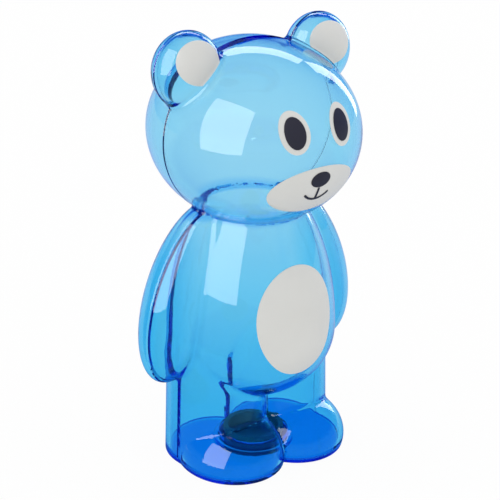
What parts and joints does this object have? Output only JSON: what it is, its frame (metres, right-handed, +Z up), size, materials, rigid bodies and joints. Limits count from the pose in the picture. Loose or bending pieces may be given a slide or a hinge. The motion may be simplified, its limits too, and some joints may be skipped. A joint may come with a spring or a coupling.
{
  "type": "money bank",
  "caption": "Standing bear money bank in clear blue plastic, with a coin slot along the top of the head, a printed face and belly, and a soft stopper in the base.",
  "frame": {"origin": "on the floor, under the middle of the figure, in the plane where the two shells meet", "axes": "+Z up, the face looks along -Y, +X towards the bear's left"},
  "size_m": [0.104, 0.0931, 0.1861],
  "materials": {
    "clear_blue": "clear blue styrene, polished",
    "stopper_rubber": "soft dark plug, satin",
    "white_ink": "off-white pad-printed ink",
    "dark_ink": "dark brown pad-printed ink"
  },
  "bodies": {
    "bank": {"front_shell": "clear_blue", "rear_shell": "clear_blue", "base_plate": "clear_blue", "belly_print": "white_ink", "muzzle_print": "white_ink", "nose_print": "dark_ink", "mouth_print": "dark_ink", "ear_print_left": "white_ink", "ear_print_right": "white_ink", "eye_white_left": "white_ink", "eye_white_right": "white_ink", "pupil_left": "dark_ink", "pupil_right": "dark_ink"},
    "stopper": {"stopper": "stopper_rubber"}
  },
  "joints": [
    {"name": "stopper_pull", "type": "slide", "parent": "bank", "child": "stopper", "axis": [0, 0, -1], "range_m": [0, 0.025]}
  ]
}
